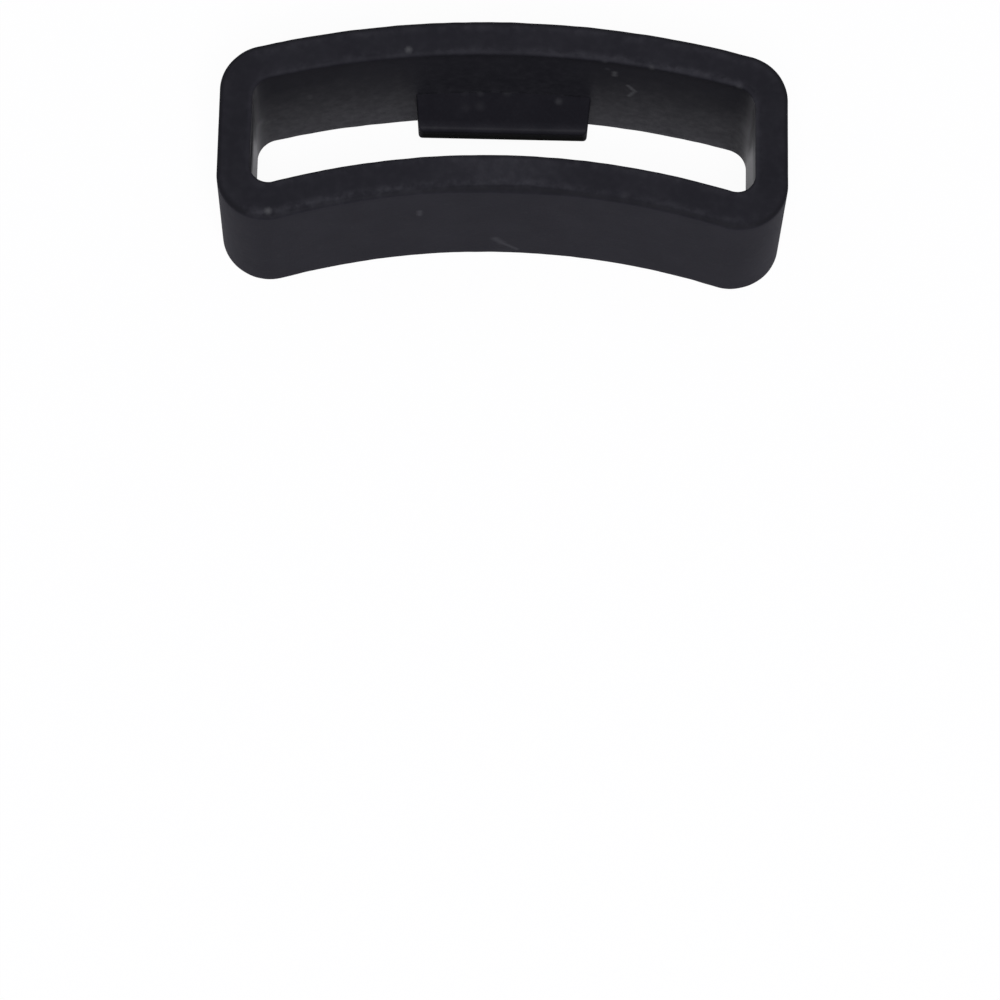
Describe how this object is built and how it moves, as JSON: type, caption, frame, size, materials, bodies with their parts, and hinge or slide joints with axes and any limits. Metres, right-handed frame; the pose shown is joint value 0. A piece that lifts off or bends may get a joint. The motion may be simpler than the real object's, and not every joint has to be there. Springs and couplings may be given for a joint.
{
  "type": "watch strap keeper",
  "caption": "Arched black silicone loop that holds a watch strap's free end down, with a locating tab on the inside of its outer wall.",
  "frame": {"origin": "centre of the footprint, on the surface that the loop stands on by one edge", "axes": "+X across the strap, the loop's longest extent; +Z along the strap, the loop's width; +Y from the wrist wall to the outer wall"},
  "size_m": [0.0312, 0.0122, 0.0088],
  "materials": {
    "silicone": "matte moulded silicone, near black",
    "tab": "smooth satin, near black"
  },
  "bodies": {
    "root": {"keeper_loop": "silicone", "locating_tab": "tab"}
  },
  "joints": []
}
